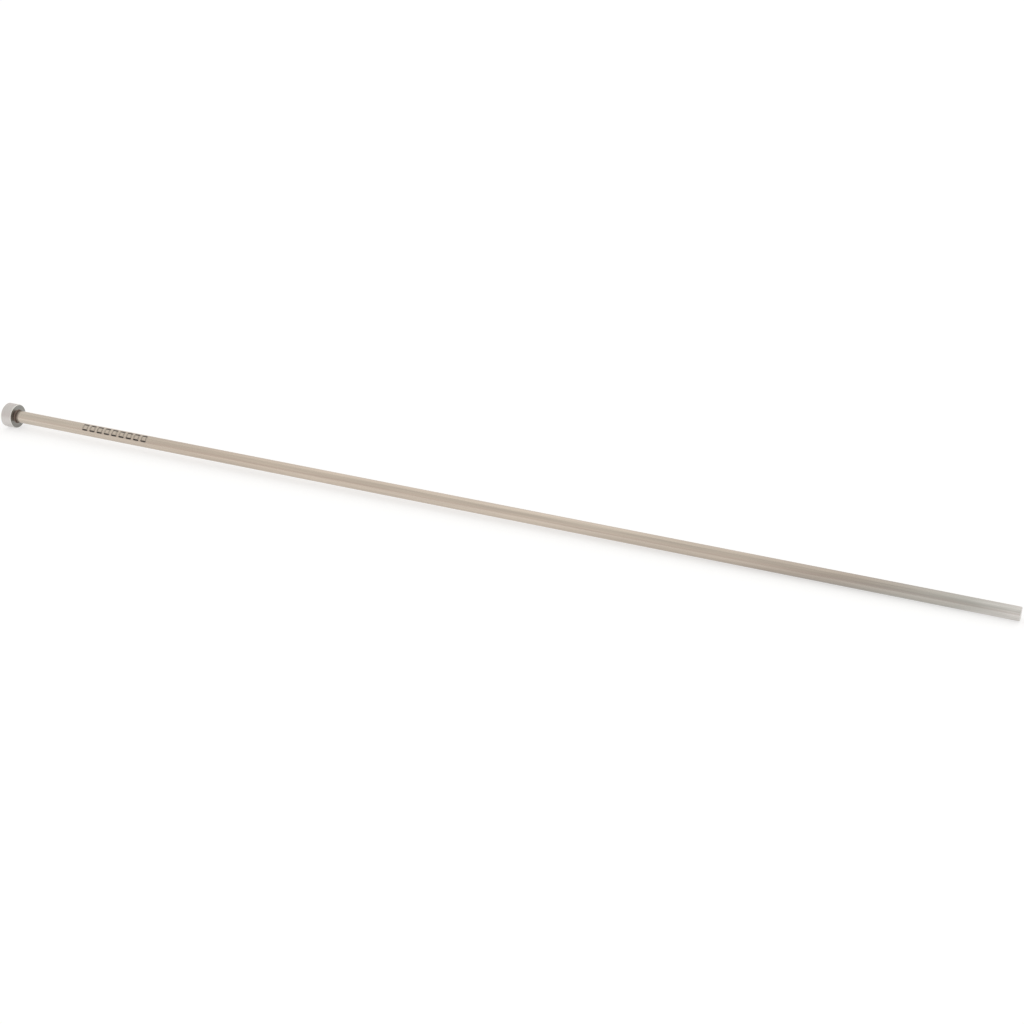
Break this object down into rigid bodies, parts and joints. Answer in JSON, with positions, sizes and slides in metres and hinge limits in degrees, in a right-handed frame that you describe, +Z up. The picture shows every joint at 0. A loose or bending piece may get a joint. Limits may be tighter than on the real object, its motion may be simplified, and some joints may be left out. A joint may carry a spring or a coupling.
{
  "type": "ejector pin",
  "caption": "Straight round ejector pin with a flat cylindrical head, a small fillet under the head and a plain ground shaft that ends square.",
  "frame": {"origin": "centre of the head's flat back face, on the pin's axis", "axes": "+X along the axis from the head to the tip; the pin is round, so Y and Z are alike and +Z is up when it lies flat"},
  "size_m": [0.25, 0.006, 0.006],
  "materials": {
    "steel": "ground, satin"
  },
  "bodies": {
    "root": {"ejector_pin": "steel"}
  },
  "joints": []
}
